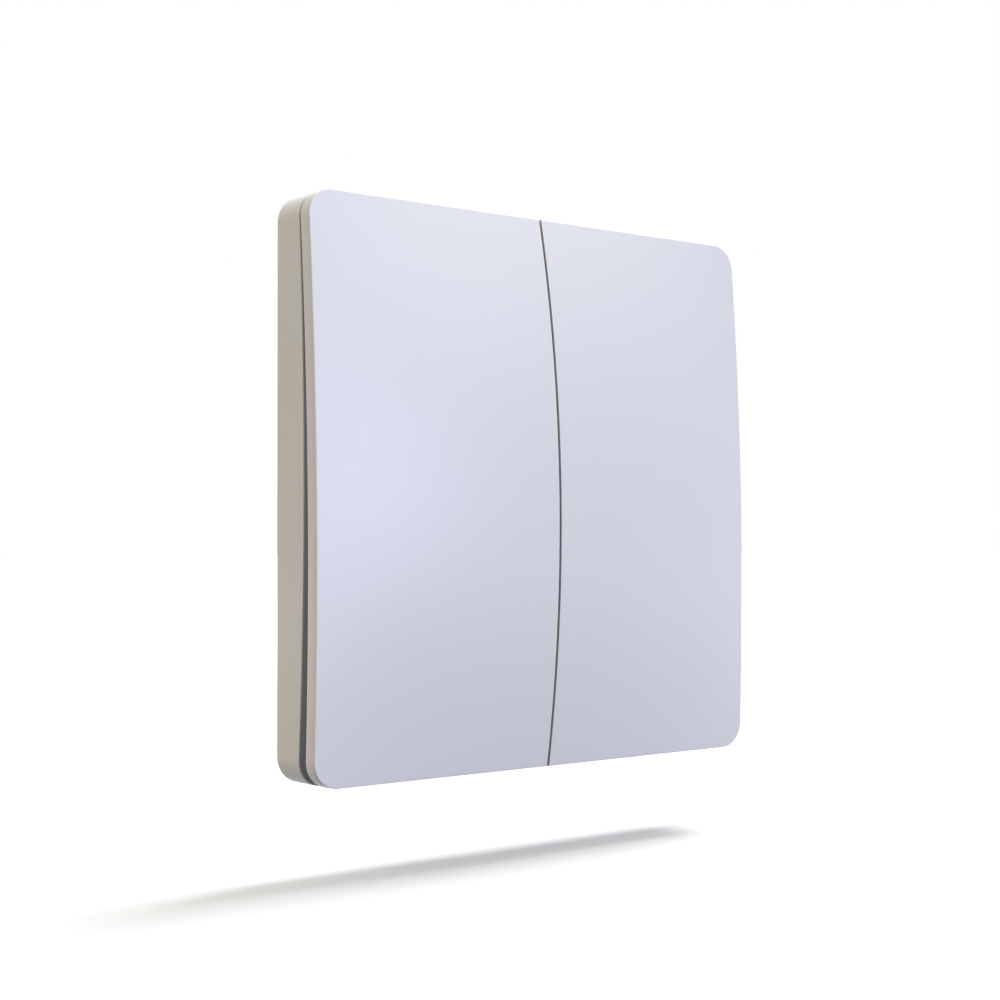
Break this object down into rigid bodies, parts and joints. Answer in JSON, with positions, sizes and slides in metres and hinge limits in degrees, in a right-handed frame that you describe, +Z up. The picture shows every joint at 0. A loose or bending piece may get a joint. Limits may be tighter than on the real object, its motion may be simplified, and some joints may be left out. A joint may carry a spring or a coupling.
{
  "type": "wireless wall switch",
  "caption": "Flat square wireless wall switch with tall side-by-side rockers, bowed front, self-powered generators inside and a screw-slotted back plate.",
  "frame": {"origin": "centre of the back face, on the wall plane", "axes": "+X to the right seen from the front, +Z up, +Y into the wall, so the rockers face -Y"},
  "size_m": [0.086, 0.0133, 0.086],
  "materials": {
    "switch_plastic": "fine satin moulded plastic, warm white",
    "tray_plastic": "satin moulded plastic, cool mid grey",
    "plate_plastic": "satin moulded plastic, pale grey",
    "board": "green solder mask",
    "package": "black moulded epoxy",
    "lid_metal": "nickel-plated lid",
    "can_metal": "drawn can",
    "tinned_strip": "tin-plated",
    "dark_plastic": "glass-filled nylon",
    "pale_plastic": "natural moulded plastic",
    "enamelled_copper": "enamelled winding wire",
    "soft_iron": "stamped and zinc-plated",
    "magnet_metal": "nickel-plated",
    "spring_steel": "bright rolled",
    "rivet_brass": "bright",
    "silicone": "soft translucent grey"
  },
  "bodies": {
    "base": {"wall_plate": "plate_plastic", "housing": "switch_plastic", "tray": "tray_plastic", "circuit_board": "board", "radio_chip": "package", "crystal": "lid_metal", "storage_capacitor": "can_metal", "antenna": "tinned_strip", "voltage_regulator": "package", "rectifier_left": "package", "rectifier_right": "package", "generator_frame_left": "dark_plastic", "generator_frame_right": "dark_plastic", "bobbin_left": "pale_plastic", "bobbin_right": "pale_plastic", "coil_left": "enamelled_copper", "coil_right": "enamelled_copper", "coil_pins_left": "tinned_strip", "coil_pins_right": "tinned_strip", "core_left": "soft_iron", "core_right": "soft_iron", "yoke_left": "soft_iron", "yoke_right": "soft_iron", "return_spring_left": "spring_steel", "return_spring_right": "spring_steel", "stop_bumper_left": "silicone", "stop_bumper_right": "silicone"},
    "rocker_left": {"rocker_left": "switch_plastic"},
    "holder_left": {"magnet_holder_left": "dark_plastic", "magnet_left": "magnet_metal", "front_pole_plate_left": "soft_iron", "back_pole_plate_left": "soft_iron", "lever_spring_left": "spring_steel", "lever_rivets_left": "rivet_brass"},
    "rocker_right": {"rocker_right": "switch_plastic"},
    "holder_right": {"magnet_holder_right": "dark_plastic", "magnet_right": "magnet_metal", "front_pole_plate_right": "soft_iron", "back_pole_plate_right": "soft_iron", "lever_spring_right": "spring_steel", "lever_rivets_right": "rivet_brass"}
  },
  "joints": [
    {"name": "rocker_left_press", "type": "hinge", "parent": "base", "child": "rocker_left", "pos_m": [-0.0216, -0.006, 0.038], "axis": [1, 0, 0], "range_deg": [0, 1.11], "stiffness_Nm_per_rad": 0.2, "springref_deg": -2.29},
    {"name": "rocker_right_press", "type": "hinge", "parent": "base", "child": "rocker_right", "pos_m": [0.0216, -0.006, 0.038], "axis": [1, 0, 0], "range_deg": [0, 1.11], "stiffness_Nm_per_rad": 0.2, "springref_deg": -2.29},
    {"name": "holder_left_rock", "type": "hinge", "parent": "base", "child": "holder_left", "pos_m": [-0.0135, -0.0063, -0.02], "axis": [1, 0, 0], "range_deg": [0, 5.3], "deforming": ["return_spring_left"]},
    {"name": "holder_right_rock", "type": "hinge", "parent": "base", "child": "holder_right", "pos_m": [0.0135, -0.0063, -0.02], "axis": [1, 0, 0], "range_deg": [0, 5.3], "deforming": ["return_spring_right"]}
  ],
  "couplings": [
    {"joint": "holder_left_rock", "follows": "rocker_left_press", "ratio": 4.7662},
    {"joint": "holder_right_rock", "follows": "rocker_right_press", "ratio": 4.7662}
  ]
}
